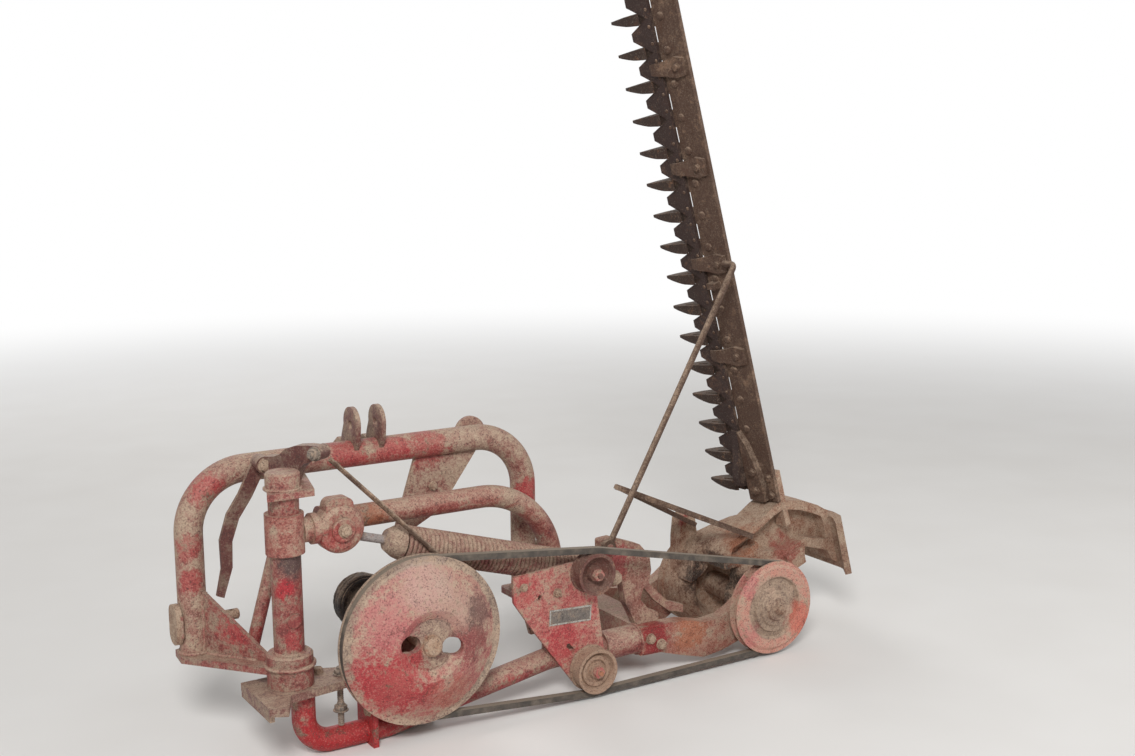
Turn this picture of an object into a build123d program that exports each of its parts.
from build123d import *
from math import cos, radians, sin
import os

os.makedirs("parts", exist_ok=True)

# Sickle bar mower, three-point mounted, parked with its cutter bar folded up.
# Millimetres. +X is the machine's right, where the cutter bar is, +Y is forward
# to the tractor and +Z is up. The floor is z = 0.

# Places of the main axes
SHEAVE_X, SHEAVE_Y, SHEAVE_Z = -393.4, -161, 215
BELT_CENTRES = 909
POST_X, POST_Y = SHEAVE_X - 256, SHEAVE_Y + 75
HOOP_Y = SHEAVE_Y + 250
FOLD_X, FOLD_Z = SHEAVE_X + BELT_CENTRES, 119
TUBE_Y = SHEAVE_Y + 70

# Clearances
SEAT = 0.3
RUN = 0.3
BELT_GAP = 0.4

# Hitch frame
HOOP_OD, HOOP_WALL = 57, 4
LEG_SPACING = 768
HOOP_TOP_Z = 560
HOOP_FOOT_Z = 196
HOOP_BEND = 120
HITCH_PIN_R = 11
HITCH_PIN_REACH = 60
HITCH_PIN_Z = 258
PIN_SHOULDER = 6
LINCH_HOLE_R = 6
TOP_LINK_HOLE_R = 9.7
TOP_LINK_GAP = 45
LUG_T = 12
BASE_T = 14

# Pivot post
POST_OD = 60
POST_BOTTOM_Z = 139
POST_TOP_Z = 536
POST_BOSS_R, POST_BOSS_Z = 14, 292
COLLAR_OD, COLLAR_TOP_Z, COLLAR_BOTTOM_Z = 92, 222, 155
HEAD_OD, HEAD_T = 68, 34
STRUT_OD = 28

# Drag bar
DRAG_OD, DRAG_WALL = 48, 5
DRAG_HIGH_Z = 90
SLEEVE_OD, SLEEVE_LEFT, SLEEVE_RIGHT = 66, 470, 560
NECK_OD, NECK_Z, NECK_Y = 48, 453, 146
NECK_RIGHT, NECK_BEND = 388, 175
HINGE_T = 16

# Belt drive
SHEAVE_R, DRIVEN_R = 175, 111
RIM_W = 27
BELT_W, BELT_T = 17, 13
GROOVE_DEPTH = 17
UPPER_X, UPPER_Z, UPPER_R = 412, 285, 43
LOWER_X, LOWER_Z, LOWER_R = 412, 66, 47
IDLER_PIN_R = 10
PLATE_T = 8
SHAFT_R = 17.5
DRIVEN_SHAFT_R = 15
HOUSING_OD = 92
PTO_R = 17.45
PTO_END_Y = 372

# Trip rod behind the sheave: (right of the sheave's axis, height) at each end
ROD_R = 5
ROD_Y = 38
ROD_END = (128, 302)
ROD_TOP = (-172, 604)

# Transport stay: pivot and upper end, (right of the sheave's axis, height)
STAY_Y = 60
STAY_R = 7
STAY_FOOT = (484, 320)
STAY_TOP = (BELT_CENTRES - 81, 925)

# Balance spring
SPRING_OD, SPRING_WIRE, SPRING_COILS = 74, 9, 46

# Yoke and drive head, forward of the belt's rear face
REAR_ARM = (45, 78)
FRONT_ARM = (338, 372)
HEAD_DRUM = (182, 318)
DRUM_R = 114
TRUNNION_R = 30
SHOE_REAR, LUG_REAR = 100, 235
ARM_HUB_R = 52

# Cutter bar, made lying flat as it mows, with x out along the bar, y forward
# and the fold axis through the origin, and then raised to its rest
BAR_RAISED = 105
BAR_TILT = 9
BAR_Z = -143
BAR_W, BAR_T = 76, 10
BAR_BACK_Y = 97
BAR_INNER_X = 190
GUARD_PITCH = 76.2
GUARD_COUNT = 24
FIRST_GUARD_X = 224
GUARD_LENGTH = 136
FLANGE_T = 8
KNIFE_GAP = 1
KNIFE_BACK_W, KNIFE_T = 20, 5
KNIFE_Y = BAR_W + 2 * KNIFE_GAP
KNIFE_INNER_X = 231
SECTION_DEPTH, SECTION_T = 70, 3
KNIFE_TOP = KNIFE_T + SECTION_T


def from_behind(y):
    """Sketch plane seen from behind, y forward of the belt's rear face."""
    return Plane.XZ.offset(-(SHEAVE_Y + y))


def spin_plane(x, z):
    """Plane through a fore-aft axis: first coordinate forward, second radius."""
    return Plane(origin=(x, SHEAVE_Y, z), x_dir=(0, 1, 0), z_dir=(1, 0, 0))


def spin_axis(x, z):
    return Axis((x, SHEAVE_Y, z), (0, 1, 0))


def turned(outline, x, z):
    """A solid turned about a fore-aft axis from (forward, radius) points."""
    with BuildPart() as piece:
        with BuildSketch(spin_plane(x, z)):
            with BuildLine():
                Polyline(*outline, close=True)
            make_face()
        revolve(axis=spin_axis(x, z))
    return piece


def outlined(points, plane, depth):
    """A plate or block with a cornered outline, extruded from its plane."""
    with BuildPart() as piece:
        with BuildSketch(plane):
            with BuildLine():
                Polyline(*points, close=True)
            make_face()
        extrude(amount=depth)
    return piece.part


def bent_tube(points, radii, od, wall):
    """A round tube along straight runs joined by tangent bends."""
    start = Vector(*points[0])
    along = Vector(*points[1]) - start
    with BuildPart() as piece:
        with BuildLine() as run:
            FilletPolyline(*points, radius=radii)
        with BuildSketch(Plane(origin=start, z_dir=along)):
            Circle(od / 2)
            Circle(od / 2 - wall, mode=Mode.SUBTRACT)
        sweep(path=run.wires()[0])
    return piece


def groove(rim_r):
    """Belt groove's corners in a rim's outline, with the belt's side clearance."""
    side = (RIM_W - BELT_W) / 2
    return [(side - 2, rim_r), (side - BELT_GAP, rim_r - GROOVE_DEPTH),
            (RIM_W - side + BELT_GAP, rim_r - GROOVE_DEPTH), (RIM_W - side + 2, rim_r)]


def save(piece, label):
    piece.part.label = label
    export_step(piece.part, f"parts/{label}.step")


# Hitch frame hoop
LEG_X = LEG_SPACING / 2
HOOP_MID_X = SHEAVE_X - 8
LEFT_LEG = HOOP_MID_X - LEG_X
RIGHT_LEG = HOOP_MID_X + LEG_X
hoop = bent_tube(
    [(LEFT_LEG, HOOP_Y, HOOP_FOOT_Z), (LEFT_LEG, HOOP_Y, HOOP_TOP_Z),
     (RIGHT_LEG, HOOP_Y, HOOP_TOP_Z), (RIGHT_LEG, HOOP_Y, HOOP_FOOT_Z)],
    [HOOP_BEND, HOOP_BEND], HOOP_OD, HOOP_WALL)
save(hoop, "hitch_hoop")

# Left base: flat plate from the leg back to the post collar, with a gusset
collar_r = COLLAR_OD / 2
with BuildPart() as left_base:
    with BuildSketch(Plane.XY.offset(HOOP_FOOT_Z - SEAT - BASE_T)):
        with BuildLine():
            Polyline((LEFT_LEG - 30, HOOP_Y + 30), (LEFT_LEG + 34, HOOP_Y + 34),
                     (POST_X + 20, POST_Y + collar_r), (POST_X - 20, POST_Y - 20),
                     (POST_X - collar_r, POST_Y), (LEFT_LEG - 34, HOOP_Y - 20), close=True)
        make_face()
        with Locations((POST_X, POST_Y)):
            Circle(collar_r + SEAT, mode=Mode.SUBTRACT)
    extrude(amount=BASE_T)
save(left_base, "left_base_plate")

leg_to_post = Vector(POST_X - LEFT_LEG, POST_Y - HOOP_Y, 0)
gusset_start = HOOP_OD / 2 + SEAT
gusset_end = leg_to_post.length - collar_r - SEAT - 2
gusset_plane = Plane(origin=(LEFT_LEG, HOOP_Y, HOOP_FOOT_Z), x_dir=leg_to_post.normalized(),
                     z_dir=Vector(0, 0, 1).cross(leg_to_post).normalized() * -1)
with BuildPart() as gusset:
    with BuildSketch(gusset_plane):
        with BuildLine():
            Polyline((gusset_start, 0), (gusset_end, 0), (gusset_end, 12),
                     (gusset_start, 128), close=True)
        make_face()
    extrude(amount=5, both=True)
save(gusset, "left_gusset")


def hitch_lug(leg, side):
    """Boss welded outside a leg, and the lower link pin that stands inside it."""
    inner = leg - side * (HOOP_OD / 2 + SEAT)
    reach = PIN_SHOULDER + HITCH_PIN_REACH
    with BuildPart() as lug:
        with BuildSketch(Plane.YZ.offset(leg + side * (HOOP_OD / 2 + SEAT))):
            with Locations((HOOP_Y, HITCH_PIN_Z)):
                RectangleRounded(52, 82, 22)
        extrude(amount=side * LUG_T)
        for radius, length in ((HITCH_PIN_R + 2.5, PIN_SHOULDER), (HITCH_PIN_R, reach)):
            with BuildSketch(Plane.YZ.offset(inner)):
                with Locations((HOOP_Y, HITCH_PIN_Z)):
                    Circle(radius)
            extrude(amount=-side * length)
        tip = lug.faces().sort_by(Axis.X)[0 if side > 0 else -1]
        chamfer(tip.edges(), 2.5)
        with Locations(Plane(origin=(inner - side * (reach - 16), HOOP_Y, HITCH_PIN_Z),
                             z_dir=(0, 0, 1))):
            Hole(LINCH_HOLE_R)
    return lug


save(hitch_lug(LEFT_LEG, -1), "left_hitch_pin")
save(hitch_lug(RIGHT_LEG, 1), "right_hitch_pin")

# Right foot: latch plate under the right leg that the drag bar parks against
with BuildPart() as right_foot:
    with BuildSketch(Plane.XY.offset(HOOP_FOOT_Z - SEAT - BASE_T)):
        with Locations((RIGHT_LEG, HOOP_Y - 12)):
            RectangleRounded(84, 104, 12)
    extrude(amount=BASE_T)
    with BuildSketch(from_behind(HOOP_Y - SHEAVE_Y - 64)):
        with BuildLine():
            Polyline((RIGHT_LEG - 42, HOOP_FOOT_Z - BASE_T), (RIGHT_LEG + 42, HOOP_FOOT_Z - BASE_T),
                     (RIGHT_LEG + 20, HOOP_FOOT_Z - 92), (RIGHT_LEG - 20, HOOP_FOOT_Z - 92),
                     close=True)
        make_face()
    extrude(amount=-LUG_T)
save(right_foot, "latch_bracket")

# Top link bracket: two ears forward of the hoop's top, with a bored hole
with BuildPart() as top_link:
    for side in (-1, 1):
        ear_x = HOOP_MID_X + side * TOP_LINK_GAP / 2
        with BuildSketch(Plane.YZ.offset(ear_x)):
            with BuildLine():
                Polyline((HOOP_Y + HOOP_OD / 2 + SEAT, HOOP_TOP_Z - 28),
                         (HOOP_Y + HOOP_OD / 2 + SEAT, HOOP_TOP_Z + 20),
                         (HOOP_Y + 62, HOOP_TOP_Z + 26), (HOOP_Y + 92, HOOP_TOP_Z + 6),
                         (HOOP_Y + 92, HOOP_TOP_Z - 24), close=True)
            make_face()
            with Locations((HOOP_Y + 66, HOOP_TOP_Z - 2)):
                Circle(TOP_LINK_HOLE_R, mode=Mode.SUBTRACT)
        extrude(amount=side * LUG_T)
    with BuildSketch(Plane.XZ.offset(-(HOOP_Y + HOOP_OD / 2 + SEAT))):
        with Locations((HOOP_MID_X, HOOP_TOP_Z - 4)):
            Rectangle(TOP_LINK_GAP + 2 * LUG_T, 40)
    extrude(amount=-8)
save(top_link, "top_link_bracket")

# Pivot post with its lower collar and its head
with BuildPart() as post:
    with BuildSketch(Plane.XY.offset(POST_BOTTOM_Z)):
        with Locations((POST_X, POST_Y)):
            Circle(POST_OD / 2)
    extrude(amount=POST_TOP_Z - POST_BOTTOM_Z)
    with BuildSketch(Plane.XY.offset(COLLAR_BOTTOM_Z)):
        with Locations((POST_X, POST_Y)):
            Circle(COLLAR_OD / 2)
    extrude(amount=COLLAR_TOP_Z - COLLAR_BOTTOM_Z)
    chamfer(post.edges().filter_by(GeomType.CIRCLE).group_by(Axis.Z)[-2], 4)
    with BuildSketch(Plane.XZ.offset(POST_OD / 2 + 4 - POST_Y)):
        with Locations((POST_X, POST_BOSS_Z)):
            Circle(POST_BOSS_R)
    extrude(amount=-POST_OD / 2)
save(post, "pivot_post")

# Top bracket: flat plate from the post's head forward to the hoop
BRACKET_Z = POST_TOP_Z + SEAT
HEAD_TOP = BRACKET_Z + BASE_T + HEAD_T
with BuildPart() as top_bracket:
    with BuildSketch(Plane.XY.offset(BRACKET_Z)):
        with BuildLine():
            Polyline((POST_X - 46, POST_Y - 38), (POST_X + 50, POST_Y - 38),
                     (POST_X + 96, HOOP_Y - HOOP_OD / 2 - SEAT),
                     (POST_X + 20, HOOP_Y - HOOP_OD / 2 - SEAT), close=True)
        make_face()
    extrude(amount=BASE_T)
    with BuildSketch(Plane.XY.offset(BRACKET_Z + BASE_T)):
        with Locations((POST_X, POST_Y)):
            Circle(HEAD_OD / 2)
    extrude(amount=HEAD_T)
    chamfer(top_bracket.edges().group_by(Axis.Z)[-1], 4)
save(top_bracket, "post_top_bracket")

# Brace plate inside the hoop, from its top tube down towards the post's foot
brace_y = HOOP_Y - SHEAVE_Y - 4
with BuildPart() as brace:
    with BuildSketch(from_behind(brace_y)):
        with BuildLine():
            Polyline((RIGHT_LEG - 270, HOOP_TOP_Z - HOOP_OD / 2 - SEAT),
                     (RIGHT_LEG - 120, HOOP_TOP_Z - HOOP_OD / 2 - SEAT),
                     (RIGHT_LEG - 210, HOOP_TOP_Z - 150), (RIGHT_LEG - 330, HOOP_TOP_Z - 210),
                     close=True)
        make_face()
    extrude(amount=-8)
save(brace, "hoop_brace_plate")

# Strut behind the post, from the base plate up to the top bracket
strut_foot = Vector(SHEAVE_X - 298, SHEAVE_Y + 180, HOOP_FOOT_Z)
strut_head = Vector(SHEAVE_X - 196, SHEAVE_Y + 186, BRACKET_Z - SEAT)
with BuildPart() as strut:
    with BuildSketch(Plane.XY.offset(strut_foot.Z)):
        with Locations((strut_foot.X, strut_foot.Y)):
            Circle(STRUT_OD / 2)
    with BuildSketch(Plane.XY.offset(strut_head.Z)):
        with Locations((strut_head.X, strut_head.Y)):
            Circle(STRUT_OD / 2)
    loft()
save(strut, "post_strut")

# Lift lever: arched casting on the top bracket, from the hoop back past the head
LEVER_T = 26
lever_foot = BRACKET_Z + BASE_T + SEAT
LEVER_BOSS = (SHEAVE_X - 256, lever_foot + 27)
LEVER_SHAPE = [(16, 11), (16, 40), (28, 45), (52, 47), (66, 53), (80, 65), (104, 73), (130, 76),
               (152, 76), (163, 70), (164, 54), (142, 45), (124, 39), (110, 26), (98, 0), (36, 0)]
lever_start = Vector(SHEAVE_X - 262, SHEAVE_Y + 200, 0)
lever_end = Vector(SHEAVE_X - 172, SHEAVE_Y + 62, 0)
lever_dir = (lever_end - lever_start).normalized()
with BuildPart() as lever:
    with BuildSketch(Plane(origin=lever_start, x_dir=lever_dir,
                           z_dir=lever_dir.cross(Vector(0, 0, 1)))):
        with BuildLine():
            Polyline(*[(reach, lever_foot + up) for reach, up in LEVER_SHAPE], close=True)
        make_face()
    extrude(amount=LEVER_T / 2, both=True)
    with BuildSketch(Plane(origin=lever_start, x_dir=lever_dir,
                           z_dir=lever_dir.cross(Vector(0, 0, 1)))):
        with Locations((152, lever_foot + 62)):
            Circle(15)
    extrude(amount=LEVER_T / 2 + 3, both=True)
    with BuildSketch(from_behind(172)):
        with Locations(LEVER_BOSS):
            Circle(17)
    extrude(amount=-25)
save(lever, "lift_lever")

# Lift strap: hangs from the lever's boss, with a clevis at its foot
with BuildPart() as strap:
    with BuildSketch(from_behind(197 + SEAT)):
        with Locations(LEVER_BOSS):
            Circle(17)
        with BuildLine():
            Polyline((SHEAVE_X - 273, LEVER_BOSS[1]), (SHEAVE_X - 239, LEVER_BOSS[1]),
                     (SHEAVE_X - 276, 510),
                     (SHEAVE_X - 304, 470), (SHEAVE_X - 320, 425), (SHEAVE_X - 322, 372),
                     (SHEAVE_X - 342, 312), (SHEAVE_X - 356, 318), (SHEAVE_X - 344, 372),
                     (SHEAVE_X - 345, 430), (SHEAVE_X - 328, 482), (SHEAVE_X - 302, 520),
                     close=True)
        make_face()
    extrude(amount=-10)
save(strap, "lift_strap")

# Drag tube: bent down under the post, along the floor, then up to the yoke
tube_y = TUBE_Y
hinge_top = COLLAR_BOTTOM_Z - SEAT
hinge_bottom = hinge_top - HINGE_T
drag_points = [(SHEAVE_X - 234, tube_y, hinge_bottom - SEAT), (SHEAVE_X - 234, tube_y, DRAG_OD / 2),
               (SHEAVE_X - 60, tube_y, DRAG_OD / 2), (SHEAVE_X + 330, tube_y, DRAG_HIGH_Z),
               (SHEAVE_X + SLEEVE_RIGHT, tube_y, DRAG_HIGH_Z)]
drag_tube = bent_tube(drag_points, [56, 220, 220], DRAG_OD, DRAG_WALL)
save(drag_tube, "drag_tube")

# The cheek plate of the bearing bracket lies along the drag tube's front side
CHEEK_Y = TUBE_Y + DRAG_OD / 2 + SEAT
FOOT_LEFT, FOOT_DEPTH = 104, 66

# Lower hinge plate: carries the post's lower end on the drag tube, with its left
# edge turned down
HINGE_LEFT = POST_X - 82
with BuildPart() as hinge_plate:
    with BuildSketch(Plane.XY.offset(hinge_bottom)):
        with BuildLine():
            Polyline((HINGE_LEFT, POST_Y - 104), (HINGE_LEFT + 32, POST_Y - 120),
                     (POST_X - 22, POST_Y - 60), (POST_X + 80, POST_Y - 46), (SHEAVE_X - FOOT_LEFT + 20, POST_Y - 30),
                     (SHEAVE_X - FOOT_LEFT + 20, CHEEK_Y - SEAT),
                     (SHEAVE_X - FOOT_LEFT - SEAT, CHEEK_Y - SEAT), (POST_X + 60, POST_Y + 56),
                     (POST_X, POST_Y + 60), (HINGE_LEFT, POST_Y + 58), close=True)
        make_face()
        with Locations((POST_X, POST_Y)):
            Circle(POST_OD / 2 + RUN, mode=Mode.SUBTRACT)
    extrude(amount=HINGE_T)
    with BuildSketch(Plane.XY.offset(hinge_bottom - 12)):
        with Locations((HINGE_LEFT + 5, POST_Y - 23)):
            Rectangle(10, 158)
    extrude(amount=HINGE_T)
save(hinge_plate, "lower_hinge_plate")

# Upper knuckle: sleeve round the post, stub arm and round casting
KNUCKLE_Z = NECK_Z + 9
with BuildPart() as knuckle:
    with BuildSketch(Plane.XY.offset(KNUCKLE_Z - 40)):
        with Locations((POST_X, POST_Y)):
            Circle(POST_OD / 2 + RUN + 8)
            Circle(POST_OD / 2 + RUN, mode=Mode.SUBTRACT)
    extrude(amount=80)
    with BuildSketch(Plane.YZ.offset(POST_X + POST_OD / 2 + 4)):
        with Locations((POST_Y, KNUCKLE_Z)):
            Circle(25)
    extrude(amount=48)
    casting = POST_Y - SHEAVE_Y
    add(turned([(casting - 31, 0), (casting - 31, 22), (casting - 29, 24), (casting - 22, 24),
                (casting - 22, 38), (casting - 18, 46), (casting - 11, 50), (casting + 15, 50),
                (casting + 22, 44), (casting + 22, 0)], POST_X + 112, KNUCKLE_Z - 6).part)
    with BuildSketch(Plane.XZ.offset(16 - POST_Y)):
        with Locations((POST_X + 110, KNUCKLE_Z + 36)):
            RectangleRounded(58, 40, 16)
    extrude(amount=-32)
    with BuildSketch(Plane.YZ.offset(POST_X + 52)):
        with Locations((POST_Y, KNUCKLE_Z)):
            Circle(31)
    extrude(amount=12)
    with BuildSketch(Plane.YZ.offset(POST_X + 150)):
        with Locations((NECK_Y + SHEAVE_Y, NECK_Z)):
            Circle(32)
    extrude(amount=-52)
    with BuildSketch(Plane.XZ.offset(-(POST_Y + 22))):
        with Locations((POST_X + 124, KNUCKLE_Z - 6)):
            Rectangle(40, 50)
    extrude(amount=-(NECK_Y + SHEAVE_Y - POST_Y - 40))
save(knuckle, "upper_knuckle")

# Goose-neck tube from the knuckle over and down to the drag tube
neck_x = SHEAVE_X + NECK_RIGHT
neck_y = SHEAVE_Y + NECK_Y
goose_neck = bent_tube(
    [(POST_X + 150 + SEAT, neck_y, NECK_Z), (neck_x, neck_y, NECK_Z), (neck_x, neck_y, 66)],
    [NECK_BEND], NECK_OD, HOOP_WALL)
save(goose_neck, "goose_neck_tube")

# Clamp between the goose-neck's lower end and the drag tube
with BuildPart() as neck_clamp:
    with BuildSketch(Plane.XY.offset(DRAG_HIGH_Z - 20)):
        with Locations((neck_x, (tube_y + neck_y) / 2)):
            Rectangle(44, neck_y - tube_y - NECK_OD / 2 - DRAG_OD / 2 - 2 * SEAT)
    extrude(amount=40)
save(neck_clamp, "neck_clamp")

# Bearing bracket: foot plate, cheek plate and the sheave shaft's housing
with BuildPart() as bearing:
    with BuildSketch(Plane.XZ.offset(-CHEEK_Y)):
        with BuildLine():
            Polyline((SHEAVE_X - FOOT_LEFT, 0), (SHEAVE_X + 60, 8), (SHEAVE_X + 60, 200),
                     (SHEAVE_X + ROD_END[0] + 18, ROD_END[1] - 12),
                     (SHEAVE_X + ROD_END[0] + 6, ROD_END[1] + 14),
                     (SHEAVE_X + ROD_END[0] - 16, ROD_END[1] + 8),
                     (SHEAVE_X - 50, SHEAVE_Z), (SHEAVE_X - FOOT_LEFT, 130), close=True)
        make_face()
    extrude(amount=-LUG_T)
    with BuildSketch(from_behind(ROD_Y - ROD_R - 2)):
        with Locations((SHEAVE_X + ROD_END[0], ROD_END[1])):
            Circle(ROD_R)
    extrude(amount=-(CHEEK_Y - SHEAVE_Y - ROD_Y + ROD_R + 2))
    with BuildSketch(Plane.YZ.offset(SHEAVE_X - FOOT_LEFT)):
        with Locations((CHEEK_Y - FOOT_DEPTH / 2, (hinge_bottom - SEAT) / 2)):
            Rectangle(FOOT_DEPTH, hinge_bottom - SEAT)
        with Locations((tube_y, DRAG_OD / 2)):
            Circle(DRAG_OD / 2 + SEAT, mode=Mode.SUBTRACT)
    extrude(amount=LUG_T)
    with BuildSketch(from_behind(48)):
        with Locations((SHEAVE_X, SHEAVE_Z)):
            Circle(HOUSING_OD / 2)
    extrude(amount=-130)
    with BuildSketch(from_behind(40)):
        with Locations((SHEAVE_X, SHEAVE_Z)):
            Circle(SHAFT_R + RUN)
    extrude(amount=-150, mode=Mode.SUBTRACT)
save(bearing, "bearing_bracket")

# Trip rod: from above the post's head down to its pin behind the sheave
rod_foot = Vector(SHEAVE_X + ROD_END[0], SHEAVE_Y + ROD_Y, ROD_END[1])
rod_head = Vector(SHEAVE_X + ROD_TOP[0], SHEAVE_Y + ROD_Y, ROD_TOP[1])
rod_dir = (rod_head - rod_foot).normalized()
with BuildPart() as trip_rod:
    with BuildSketch(Plane(origin=rod_foot + rod_dir * 12, z_dir=rod_dir)):
        Circle(ROD_R)
    extrude(amount=(rod_head - rod_foot).length - 12)
    with BuildSketch(from_behind(ROD_Y - ROD_R - 1)):
        with Locations((rod_foot.X, rod_foot.Z)):
            Circle(14)
    extrude(amount=-2 * (ROD_R + 1))
    with BuildSketch(from_behind(ROD_Y - ROD_R - 1)):
        with Locations((rod_foot.X, rod_foot.Z)):
            Circle(ROD_R + SEAT)
    extrude(amount=-2 * (ROD_R + 1), mode=Mode.SUBTRACT)
save(trip_rod, "trip_rod")

# Drive sheave: grooved rim, dished web bowed to the rear, two hand openings
with BuildPart() as sheave:
    add(turned([(-34, 0), (-34, 24), (-30, 52), (-42, 74), (-36, 100), (-20, SHEAVE_R - 46),
                (-3, SHEAVE_R - 18), (0, SHEAVE_R - 10), (0, SHEAVE_R), *groove(SHEAVE_R),
                (RIM_W, SHEAVE_R), (RIM_W, SHEAVE_R - 23), (6, SHEAVE_R - 27), (-10, SHEAVE_R - 48),
                (-25, 100), (-30, 74), (-16, 50), (-16, SHAFT_R), (44, SHAFT_R), (44, 0)],
               SHEAVE_X, SHEAVE_Z).part)
    with BuildSketch(from_behind(-60)):
        with Locations((SHEAVE_X, SHEAVE_Z)):
            with PolarLocations(47, 2, start_angle=168):
                SlotOverall(46, 36)
    extrude(amount=-60, mode=Mode.SUBTRACT)
    with BuildSketch(from_behind(-50)):
        with Locations((SHEAVE_X, SHEAVE_Z)):
            Circle(PTO_R + 2)
    extrude(amount=-20)
    chamfer(sheave.edges().group_by(Axis.Y)[0], 5)
save(sheave, "drive_sheave")

# Power shaft: from the sheave's hub through the housing to its shield cup
CUP_REAR, CUP_FRONT = 288, 334
pto = turned([(44, 0), (44, SHAFT_R), (194, SHAFT_R), (194, 30), (308, 30), (308, 50),
              (CUP_REAR, 50), (CUP_REAR, 55), (296, 58), (320, 58), (CUP_FRONT, 48),
              (CUP_FRONT, PTO_R), (PTO_END_Y, PTO_R), (PTO_END_Y, 0)], SHEAVE_X, SHEAVE_Z)
save(pto, "power_shaft")

# Driven pulley: grooved rim, flat face with a stepped hub, and its shaft
driven = turned(
    [(-22, 0), (-22, 11), (-15, 12), (-15, 26), (-10, 29), (-9, 41), (-5, 44), (-5, 56), (0, 59),
     (1, 70), (-4, 74), (-5, DRIVEN_R - 15), (0, DRIVEN_R - 8), (0, DRIVEN_R),
     *groove(DRIVEN_R), (RIM_W, DRIVEN_R), (RIM_W, 78), (16, 74), (16, 32), (REAR_ARM[0] - 5, 32),
     (REAR_ARM[0] - 5, DRIVEN_SHAFT_R), (110, DRIVEN_SHAFT_R), (110, 0)],
    FOLD_X, FOLD_Z)
save(driven, "driven_pulley")

# Idlers: cup-shaped, flanged at the back, open to the rear at their bolt


def idler(x, z, r, cup):
    """Flanged idler; cup is its rear face as (forward, radius) from bore to flange."""
    bore = IDLER_PIN_R + RUN
    return turned([(-4, bore), (-4, bore + 5), *cup, (-8, r - 4), (-8, r + 3), (-5, r + 3), (0, r),
                   (25, r), (26, r + 4), (28, r + 4), (28, bore)], x, z)


save(idler(SHEAVE_X + UPPER_X, UPPER_Z, UPPER_R,
           [(12, IDLER_PIN_R + 8), (12, UPPER_R - 18), (4, UPPER_R - 9)]), "upper_idler")
save(idler(SHEAVE_X + LOWER_X, LOWER_Z, LOWER_R,
           [(4, IDLER_PIN_R + 8), (4, LOWER_R - 24), (-1, LOWER_R - 21), (-1, LOWER_R - 13),
            (4, LOWER_R - 11), (3, LOWER_R - 8)]), "lower_idler")

# Idler plate with its two idler bolts
plate_back = 30
with BuildPart() as idler_plate:
    with BuildSketch(from_behind(plate_back)):
        with BuildLine():
            Polyline((SHEAVE_X + 224, 300), (SHEAVE_X + 372, 309), (SHEAVE_X + 418, 308),
                     (SHEAVE_X + 434, 224), (SHEAVE_X + 452, 96), (SHEAVE_X + 444, 44),
                     (SHEAVE_X + 412, 28), (SHEAVE_X + 372, 38), (SHEAVE_X + 274, 172),
                     (SHEAVE_X + 226, 243), close=True)
        make_face()
    extrude(amount=-PLATE_T)
    fillet(idler_plate.edges().filter_by(Axis.Y), 9)
    with BuildSketch(from_behind(plate_back)):
        with Locations((SHEAVE_X + 290, 245)):
            Circle(6)
        with Locations((SHEAVE_X + 366, 117)):
            SlotOverall(30, 10, rotation=-50)
    extrude(amount=-PLATE_T, mode=Mode.SUBTRACT)
    with BuildSketch(from_behind(-10)):
        with Locations((SHEAVE_X + UPPER_X, UPPER_Z), (SHEAVE_X + LOWER_X, LOWER_Z)):
            Circle(IDLER_PIN_R)
    extrude(amount=-(plate_back + 10))
    with BuildSketch(from_behind(-16)):
        with Locations((SHEAVE_X + UPPER_X, UPPER_Z), (SHEAVE_X + LOWER_X, LOWER_Z)):
            RegularPolygon(13, 6)
    extrude(amount=-11)
    with BuildSketch(from_behind(plate_back + PLATE_T)):
        with Locations((SHEAVE_X + 400, DRAG_HIGH_Z)):
            Rectangle(70, 40)
    extrude(amount=-(70 - DRAG_OD / 2 - SEAT - plate_back - PLATE_T))
save(idler_plate, "idler_plate")

# Drive belt: one loop over the sheave, the idlers and the driven pulley
belt_wraps = [(SHEAVE_X, SHEAVE_Z, SHEAVE_R - 2 - BELT_T), (FOLD_X, FOLD_Z, DRIVEN_R - 2 - BELT_T),
              (SHEAVE_X + UPPER_X, UPPER_Z, UPPER_R + BELT_GAP),
              (SHEAVE_X + LOWER_X, LOWER_Z, LOWER_R + BELT_GAP)]
with BuildPart() as belt:
    with BuildSketch(from_behind((RIM_W - BELT_W) / 2)):
        for x, z, r in belt_wraps:
            with Locations((x, z)):
                Circle(r + BELT_T)
        make_hull()
    extrude(amount=-BELT_W)
    with BuildSketch(from_behind((RIM_W - BELT_W) / 2)):
        for x, z, r in belt_wraps:
            with Locations((x, z)):
                Circle(r)
        make_hull()
    extrude(amount=-BELT_W, mode=Mode.SUBTRACT)
save(belt, "drive_belt")

# Drag sleeve round the tube's right end
with BuildPart() as sleeve:
    with BuildSketch(Plane.YZ.offset(SHEAVE_X + SLEEVE_LEFT)):
        with Locations((tube_y, DRAG_HIGH_Z)):
            Circle(SLEEVE_OD / 2)
            Circle(DRAG_OD / 2 + SEAT, mode=Mode.SUBTRACT)
    extrude(amount=SLEEVE_RIGHT - SLEEVE_LEFT)
save(sleeve, "drag_sleeve")

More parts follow.
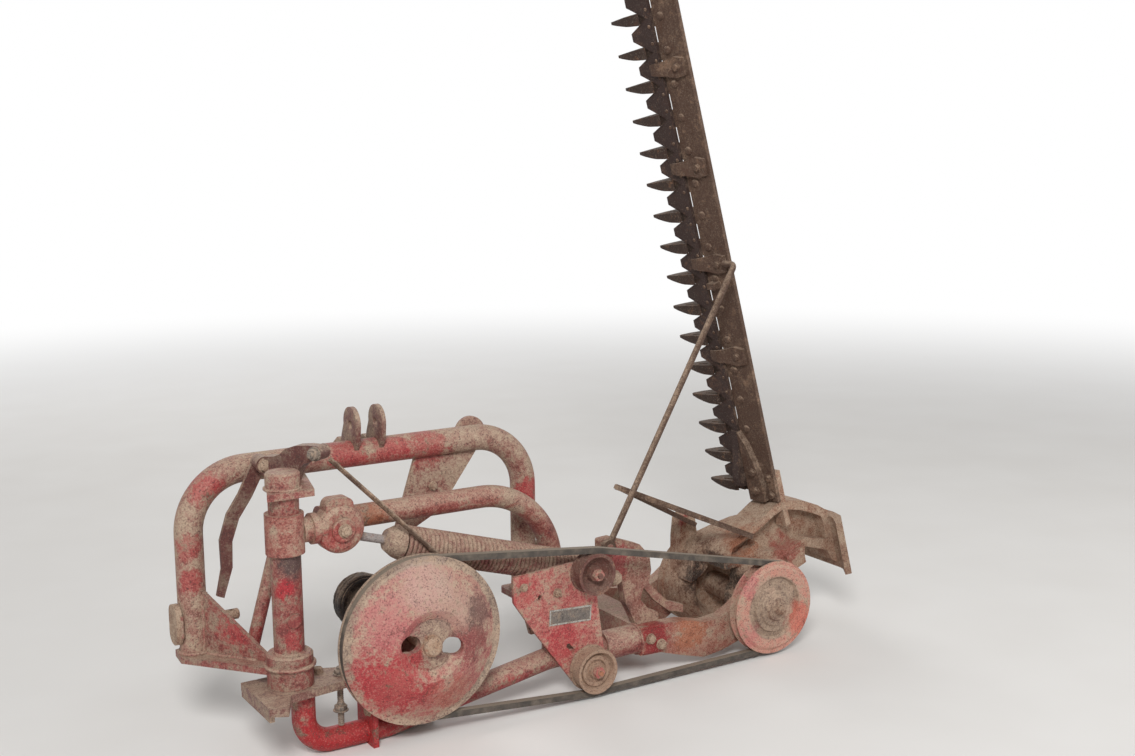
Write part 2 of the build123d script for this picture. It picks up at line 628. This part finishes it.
# Yoke: root block and two curved arms that carry the drive head; the front arm
# reaches the floor
ROOT_X = SHEAVE_X + SLEEVE_RIGHT + SEAT
ARM_TOP = [(0, 122), (56, 121), (118, 117), (182, 102), (230, 106), (262, 121)]
REAR_ARM_UNDER = [(278, 38), (230, 24), (178, 18), (118, 34), (56, 54), (0, 56)]
FRONT_ARM_UNDER = [(300, 22), (260, 0), (150, 0), (96, 24), (40, 48), (0, 54)]
with BuildPart() as yoke:
    for (near, far), under in ((REAR_ARM, REAR_ARM_UNDER), (FRONT_ARM, FRONT_ARM_UNDER)):
        with BuildSketch(from_behind(near)):
            with BuildLine():
                Polyline(*[(ROOT_X + reach, up) for reach, up in ARM_TOP],
                         (FOLD_X - 34, FOLD_Z + 40), (FOLD_X, FOLD_Z), (FOLD_X - 26, FOLD_Z - 46),
                         *[(ROOT_X + reach, up) for reach, up in under], close=True)
            make_face()
            with Locations((FOLD_X, FOLD_Z)):
                Circle(ARM_HUB_R)
                Circle(TRUNNION_R + RUN, mode=Mode.SUBTRACT)
        extrude(amount=-(far - near))
    with BuildSketch(from_behind(REAR_ARM[0])):
        with Locations((ROOT_X + 35, 88)):
            Rectangle(70, 62)
    extrude(amount=-(FRONT_ARM[1] - REAR_ARM[0]))
    with BuildSketch(from_behind(REAR_ARM[0] - 5)):
        with BuildLine():
            Polyline((ROOT_X, 62), (ROOT_X, 116), (ROOT_X + 62, 114), (ROOT_X + 78, 90),
                     (ROOT_X + 60, 60), close=True)
        make_face()
    extrude(amount=-5)
save(yoke, "hinge_yoke")

# Bell crank: bent lever that joins the spring to the yoke
crank_y = 70
CRANK_SHAPE = [(-90, 334), (-60, 336), (15, 308), (42, 277), (46, 243), (40, 215), (24, 203),
               (16, 180), (38, 154), (66, 140), (66, 121 + SEAT), (4, 122 + SEAT), (-8, 148),
               (-22, 174), (-30, 210), (-34, 240), (-54, 256), (-90, 252)]
CRANK_BRACE = [(18, 218), (34, 222), (96, 160), (142, 142), (142, 124), (100, 136), (60, 168)]
with BuildPart() as crank:
    with BuildSketch(from_behind(crank_y)):
        with BuildLine():
            Polyline(*[(SHEAVE_X + SLEEVE_RIGHT + reach, up) for reach, up in CRANK_SHAPE],
                     close=True)
        make_face()
    extrude(amount=-24)
    fillet(crank.edges().filter_by(Axis.Y), 5)
    with BuildSketch(from_behind(crank_y - 8)):
        with Locations((SHEAVE_X + 500, 246)):
            Circle(21)
    extrude(amount=-12)
    with BuildSketch(from_behind(crank_y + 8)):
        with BuildLine():
            Polyline(*[(SHEAVE_X + SLEEVE_RIGHT + reach, up) for reach, up in CRANK_BRACE],
                     close=True)
        make_face()
    extrude(amount=-16)
    with BuildSketch(from_behind(STAY_Y - 10)):
        with Locations((SHEAVE_X + STAY_FOOT[0], STAY_FOOT[1])):
            Circle(STAY_R)
    extrude(amount=-(crank_y - STAY_Y + 10))
save(crank, "spring_crank")

# Balance spring: closed coils turned as ridges, between its end plugs
SPRING_Y = 82
spring_start = Vector(SHEAVE_X - 8, SHEAVE_Y + SPRING_Y, 403)
spring_end = Vector(SHEAVE_X + 442, SHEAVE_Y + SPRING_Y, 270)
spring_dir = (spring_end - spring_start).normalized()
spring_length = (spring_end - spring_start).length
spring_plane = Plane(origin=spring_start, x_dir=spring_dir, z_dir=(0, 1, 0))
coil_pitch = spring_length / SPRING_COILS
with BuildPart() as spring:
    with BuildSketch(spring_plane):
        with BuildLine():
            ridge = [(0, SPRING_OD / 2 - SPRING_WIRE)]
            for turn in range(SPRING_COILS):
                ridge.append((turn * coil_pitch, SPRING_OD / 2 - 3))
                ridge.append(((turn + 0.5) * coil_pitch, SPRING_OD / 2))
            ridge.append((spring_length, SPRING_OD / 2 - 3))
            ridge.append((spring_length, SPRING_OD / 2 - SPRING_WIRE))
            Polyline(*ridge, close=True)
        make_face()
    revolve(axis=Axis(spring_start, spring_dir))
save(spring, "balance_spring")

# Spring plugs: the left one on a bright rod that ends at the knuckle's casting
knuckle_centre = Vector(POST_X + 112, spring_start.Y, KNUCKLE_Z - 6)
rod_reach = (knuckle_centre - spring_start).length - 50 - 4 * SEAT
crank_reach = 26
with BuildPart() as plugs:
    with BuildSketch(spring_plane):
        with BuildLine():
            Polyline((-rod_reach, 0), (-rod_reach, 9), (-36, 9), (-34, 22), (-14, 33),
                     (-SEAT, 37), (-SEAT, 0), close=True)
        make_face()
        with BuildLine():
            Polyline((spring_length + SEAT, 0), (spring_length + SEAT, 37),
                     (spring_length + 12, 28), (spring_length + 14, 9),
                     (spring_length + crank_reach, 9), (spring_length + crank_reach, 0),
                     close=True)
        make_face()
    revolve(axis=Axis(spring_start, spring_dir))
save(plugs, "spring_plugs")

# Drive head, inner shoe and cutter bar lie flat here and are raised afterwards
FOLD_POINT = Vector(FOLD_X, SHEAVE_Y, FOLD_Z)
RAISED = Plane(origin=FOLD_POINT,
               x_dir=(cos(radians(BAR_RAISED)), 0, sin(radians(BAR_RAISED))),
               z_dir=(-sin(radians(BAR_RAISED)), 0, cos(radians(BAR_RAISED)))).location


def raise_and_save(piece, label):
    piece.part.locate(RAISED)
    save(piece, label)


def flat_side(y):
    """Sketch plane seen from behind, in the cutter bar's own flat frame."""
    return Plane.XZ.offset(-y)


BAR_PLANE = Plane(origin=(0, BAR_BACK_Y, BAR_Z), x_dir=(1, 0, 0),
                  z_dir=(0, -sin(radians(BAR_TILT)), cos(radians(BAR_TILT))))
SEAT_T = 16

# Drive head: bell open at its rear round the trunnion, with an arm to the shoe
BELL = [(HEAD_DRUM[0] + 54, 0), (HEAD_DRUM[0] + 54, 58), (HEAD_DRUM[0] + 26, 74),
        (HEAD_DRUM[0] + 14, 84), (HEAD_DRUM[0] + 14, 91), (HEAD_DRUM[0] + 42, DRUM_R - 9),
        (HEAD_DRUM[0] + 78, DRUM_R - 3), (HEAD_DRUM[1] - 26, DRUM_R - 3),
        (HEAD_DRUM[1] - 25, DRUM_R), (HEAD_DRUM[1] - 6, DRUM_R), (HEAD_DRUM[1], DRUM_R - 7),
        (HEAD_DRUM[1], 62), (HEAD_DRUM[1] + 8, 54), (HEAD_DRUM[1] + 8, 0)]
HEAD_ARM = [(58, 96), (104, 70), (138, 44), (148, 4), (147, -36), (143, -90), (130, -145),
            (112, -196), (84, -190), (94, -140), (92, -92), (70, -52), (84, -16), (86, 20),
            (64, 58)]
BAIL_LUG = [(60, 90), (100, 20), (186, 10), (204, 26), (196, 48), (150, 66)]
with BuildPart() as drive_head:
    with BuildSketch(Plane.YZ):
        with BuildLine():
            Polyline(*BELL, close=True)
        make_face()
    revolve(axis=Axis.Y)
    add(outlined(HEAD_ARM, flat_side(HEAD_DRUM[0]), -52))
    with BuildSketch(flat_side(HEAD_DRUM[0])):
        with Locations((112, 8)):
            SlotOverall(34, 15, rotation=100)
        with Locations((112, -66)):
            SlotOverall(34, 13, rotation=80)
    extrude(amount=-24, mode=Mode.SUBTRACT)
    add(outlined(BAIL_LUG, flat_side(LUG_REAR), -40))
    with BuildSketch(flat_side(REAR_ARM[0] + SEAT)):
        Circle(TRUNNION_R)
    extrude(amount=-(FRONT_ARM[1] - REAR_ARM[0] - 2 * SEAT))
    with BuildSketch(flat_side(0)):
        Circle(DRIVEN_SHAFT_R + RUN)
    extrude(amount=-111, mode=Mode.SUBTRACT)
raise_and_save(drive_head, "drive_head")

# Inner shoe: flanged casting from the trunnion out to the bar and down to the sole
SOLE_Z = -286
SHOE_WALL = [(92, 46), (130, 44), (150, 28), (156, -20), (164, -70), (180, -118), (186, -150),
             (180, -178), (162, -216), (132, -260), (106, SOLE_Z), (-36, SOLE_Z), (-24, -272),
             (8, -262), (46, -198), (12, -186), (8, -150), (36, -126), (58, -88), (78, -30),
             (86, 16)]
SHOE_HOLLOW = [(112, 24), (134, 12), (138, -24), (146, -74), (160, -120), (165, -150),
               (158, -172), (142, -206), (112, -250), (96, -266), (36, -266), (68, -204),
               (64, -140), (82, -90), (100, -36)]
SHOE_PAD = [(6, -132), (50, -130), (54, -184), (12, -184)]
SHOE_WEB = [(30, 26), (100, 0), (120, -60), (60, -84), (20, -40)]
SHOE_TOE = [(HEAD_DRUM[0] - 2, SOLE_Z), (286, SOLE_Z), (250, SOLE_Z + 22), (HEAD_DRUM[0] - 2, -226)]
shoe_depth = HEAD_DRUM[0] - SHOE_REAR - SEAT
with BuildPart() as shoe:
    add(outlined(SHOE_WALL, flat_side(SHOE_REAR), -shoe_depth))
    add(outlined(SHOE_HOLLOW, flat_side(SHOE_REAR), -34), mode=Mode.SUBTRACT)
    add(outlined(SHOE_PAD, flat_side(SHOE_REAR - 10), -40))
    add(outlined(SHOE_WEB, flat_side(SHOE_REAR), -30))
    add(outlined(SHOE_TOE, Plane.YZ.offset(14), 26))
    seat_top = -BAR_T - SEAT
    seat_middle = (120 + BAR_INNER_X + 74) / 2
    for back, front, top in ((0, 32, seat_top), (30, 68, seat_top - FLANGE_T)):
        with BuildSketch(BAR_PLANE.offset(seat_top - SEAT_T)):
            with Locations((seat_middle, (back + front) / 2)):
                Rectangle(BAR_INNER_X + 74 - 120, front - back)
        extrude(amount=top - seat_top + SEAT_T)
    with BuildSketch(flat_side(SHOE_REAR)):
        Circle(TRUNNION_R + 18)
    extrude(amount=-30)
    with BuildSketch(flat_side(SHOE_REAR)):
        Circle(TRUNNION_R + SEAT)
    extrude(amount=-30, mode=Mode.SUBTRACT)
raise_and_save(shoe, "inner_shoe")

# Skid: the sole under the shoe, turned up at both ends
skid_top = SOLE_Z - SEAT
SKID = [(50, skid_top + 22), (78, skid_top + 4), (98, skid_top), (290, skid_top),
        (318, skid_top + 20), (326, skid_top + 10), (298, skid_top - 20), (104, skid_top - 22),
        (72, skid_top - 16), (42, skid_top + 8)]
with BuildPart() as skid:
    add(outlined(SKID, Plane.YZ.offset(-50), 142))
    fillet(skid.edges().filter_by(lambda edge: edge.length < 60).group_by(Axis.X)[0], 2)
raise_and_save(skid, "shoe_skid")

# One guard, with x across it: base flange bolted under the bar, ledge under the
# knife, pointed nose and a lip curved back over the knife
GUARD_TIP = BAR_W + GUARD_LENGTH
LEDGE_Z, LIP_Z = KNIFE_T - KNIFE_GAP, KNIFE_TOP + KNIFE_GAP
GUARD_SIDE = [(34, -BAR_T), (34, -BAR_T - FLANGE_T), (BAR_W, -BAR_T - FLANGE_T), (108, -22),
              (150, -20), (188, -12), (GUARD_TIP, -2), (GUARD_TIP, 3), (190, 10), (166, 15),
              (140, 18), (118, 16), (111, 12), (117, LIP_Z), (162, LIP_Z), (162, LEDGE_Z),
              (KNIFE_Y + KNIFE_BACK_W + KNIFE_GAP, LEDGE_Z),
              (KNIFE_Y + KNIFE_BACK_W + KNIFE_GAP, -KNIFE_GAP), (BAR_W, -KNIFE_GAP),
              (BAR_W, -BAR_T)]
GUARD_PLAN = [(-24, 30), (24, 30), (24, BAR_W - 6), (14, 94), (11, 150), (3, GUARD_TIP),
              (-3, GUARD_TIP), (-11, 150), (-14, 94), (-24, BAR_W - 6)]
with BuildPart() as guard:
    add(outlined(GUARD_SIDE, Plane.YZ.offset(-30), 60))
    add(outlined(GUARD_PLAN, Plane.XY.offset(-40), 80), mode=Mode.INTERSECT)

# Cutter bar with its guards, and the catch for the transport stay
BAR_LENGTH = FIRST_GUARD_X + (GUARD_COUNT - 1) * GUARD_PITCH + 50 - BAR_INNER_X
with BuildPart() as bar:
    with BuildSketch():
        with Locations((BAR_INNER_X + BAR_LENGTH / 2, BAR_W / 2)):
            Rectangle(BAR_LENGTH, BAR_W)
    extrude(amount=-BAR_T)
    for count in range(GUARD_COUNT):
        with Locations((FIRST_GUARD_X + count * GUARD_PITCH, 0, 0)):
            add(guard.part)
    with BuildSketch():
        with Locations((744, 52)):
            Rectangle(14, 26)
    extrude(amount=22)


def raise_bar_piece(piece, label):
    """Move a piece made on the bar's own plane to its rest, folded up."""
    piece.part.locate(RAISED * BAR_PLANE.location)
    save(piece, label)


raise_bar_piece(bar, "cutter_bar")

# Outer shoe on the bar's far end
SHOE_X = BAR_INNER_X + BAR_LENGTH + SEAT
with BuildPart() as outer_shoe:
    with BuildSketch(Plane.YZ.offset(SHOE_X)):
        with BuildLine():
            Polyline((-40, -30), (-20, -44), (120, -44), (BAR_W + GUARD_LENGTH - 20, -8),
                     (BAR_W + GUARD_LENGTH - 30, 6), (96, 16), (0, 22), (-40, 10), close=True)
        make_face()
    extrude(amount=12)
    with BuildSketch(Plane.YZ.offset(SHOE_X - 60)):
        with BuildLine():
            Polyline((-40, -30), (-20, -44), (120, -44), (BAR_W + GUARD_LENGTH - 20, -20),
                     (BAR_W + GUARD_LENGTH - 20, -13), (118, -36), (-18, -36), (-34, -25),
                     close=True)
        make_face()
    extrude(amount=72)
raise_bar_piece(outer_shoe, "outer_shoe")

# Hold-down clips: arched castings on the bar, each with a nose over the knife, and
# the curved guide beside the knife's head
CLIP_SIDE = [(8, SEAT), (60, SEAT), (72, 4), (74, LIP_Z), (108, LIP_Z), (111, LIP_Z + 2),
             (102, 15), (86, 18), (66, 14), (44, 9), (8, 8)]
CLIP_PLAN = [(-19, 8), (19, 8), (24, 34), (17, 62), (11, 116), (-11, 116), (-17, 62), (-24, 34)]
HEAD_GUIDE = [(BAR_INNER_X + 4, 26), (236, 26), (290, 38), (340, 54), (372, BAR_W - 2),
              (BAR_INNER_X + 4, BAR_W - 2)]
with BuildPart() as clip:
    add(outlined(CLIP_SIDE, Plane.YZ.offset(-40), 80))
    add(outlined(CLIP_PLAN, Plane.XY, 40), mode=Mode.INTERSECT)
with BuildPart() as clips:
    for count in range(4, GUARD_COUNT - 2, 3):
        with Locations((FIRST_GUARD_X + (count + 0.5) * GUARD_PITCH, 0, 0)):
            add(clip.part)
    add(outlined(HEAD_GUIDE, Plane.XY.offset(SEAT), 17))
raise_bar_piece(clips, "knife_clips")

# Knife: flat back under riveted sections that rest midway between the guards,
# and its driving head on the inner end
SECTION = [(-38, 0), (38, 0), (38, 14), (9, SECTION_DEPTH), (-9, SECTION_DEPTH), (-38, 14)]
knife_outer_x = FIRST_GUARD_X + (GUARD_COUNT - 1) * GUARD_PITCH
KNIFE_HEAD = [(0, KNIFE_T), (140, KNIFE_T), (140, KNIFE_TOP + 2), (104, KNIFE_TOP + 8),
              (62, KNIFE_TOP + 20), (26, KNIFE_TOP + 30), (6, KNIFE_TOP + 28), (0, KNIFE_TOP + 16)]
with BuildPart() as knife:
    with BuildSketch():
        with Locations(((KNIFE_INNER_X + knife_outer_x) / 2, KNIFE_Y + KNIFE_BACK_W / 2)):
            Rectangle(knife_outer_x - KNIFE_INNER_X, KNIFE_BACK_W)
    extrude(amount=KNIFE_T)
    with BuildSketch(Plane.XY.offset(KNIFE_T)):
        for count in range(GUARD_COUNT - 1):
            with Locations((FIRST_GUARD_X + (count + 0.5) * GUARD_PITCH, KNIFE_Y)):
                Polygon(*SECTION, align=None)
    extrude(amount=SECTION_T)
    with BuildSketch(Plane.XZ.offset(-KNIFE_Y)):
        with BuildLine():
            Polyline(*[(KNIFE_INNER_X + reach, up) for reach, up in KNIFE_HEAD], close=True)
        make_face()
    extrude(amount=-KNIFE_BACK_W)
raise_bar_piece(knife, "knife")

# Lift bail: two flat straps from the head's lug and the shoe to one apex
BAIL_APEX = Vector(FOLD_X - 346, SHEAVE_Y + 140, FOLD_Z + 308)
BAIL_AT_SHOE = (FOLD_X - 7, FOLD_Z + 156)
BAIL_AT_LUG = (FOLD_X - 75, FOLD_Z + 165)
BAIL_W, BAIL_T = 28, 13
BAIL_SLANT = 2.3
at_shoe = Vector(BAIL_AT_SHOE[0], SHEAVE_Y + SHOE_REAR - BAIL_SLANT - BAIL_W / 2, BAIL_AT_SHOE[1])
at_lug = Vector(BAIL_AT_LUG[0], SHEAVE_Y + LUG_REAR - 1 - BAIL_W / 2, BAIL_AT_LUG[1])
with BuildPart() as bail:
    for end, width, thick in ((at_shoe, BAIL_W, BAIL_T), (at_lug, BAIL_W - 4, BAIL_T - 3)):
        along = end - BAIL_APEX
        with BuildSketch(Plane(origin=BAIL_APEX, x_dir=(0, 1, 0), z_dir=along)):
            Rectangle(width, thick)
        extrude(amount=along.length)
save(bail, "lift_bail")

# Transport stay: round rod from its pin on the spring crank up to the bar
foot = Vector(SHEAVE_X + STAY_FOOT[0], SHEAVE_Y + STAY_Y, STAY_FOOT[1])
top = Vector(SHEAVE_X + STAY_TOP[0], SHEAVE_Y + STAY_Y, STAY_TOP[1])
rise = (top - foot).normalized()
with BuildPart() as stay:
    with BuildLine() as stay_run:
        FilletPolyline(foot + rise * 13, top, top + Vector(0, 40, 0), radius=12)
    with BuildSketch(Plane(origin=foot + rise * 13, z_dir=rise)):
        Circle(STAY_R)
    sweep(path=stay_run.wires()[0])
    with BuildSketch(from_behind(STAY_Y - STAY_R + 1)):
        with Locations((foot.X, foot.Z)):
            Circle(16)
    extrude(amount=-2 * (STAY_R - 1))
    with BuildSketch(from_behind(STAY_Y - STAY_R)):
        with Locations((foot.X, foot.Z)):
            Circle(STAY_R + RUN)
    extrude(amount=-2 * STAY_R, mode=Mode.SUBTRACT)
save(stay, "transport_stay")
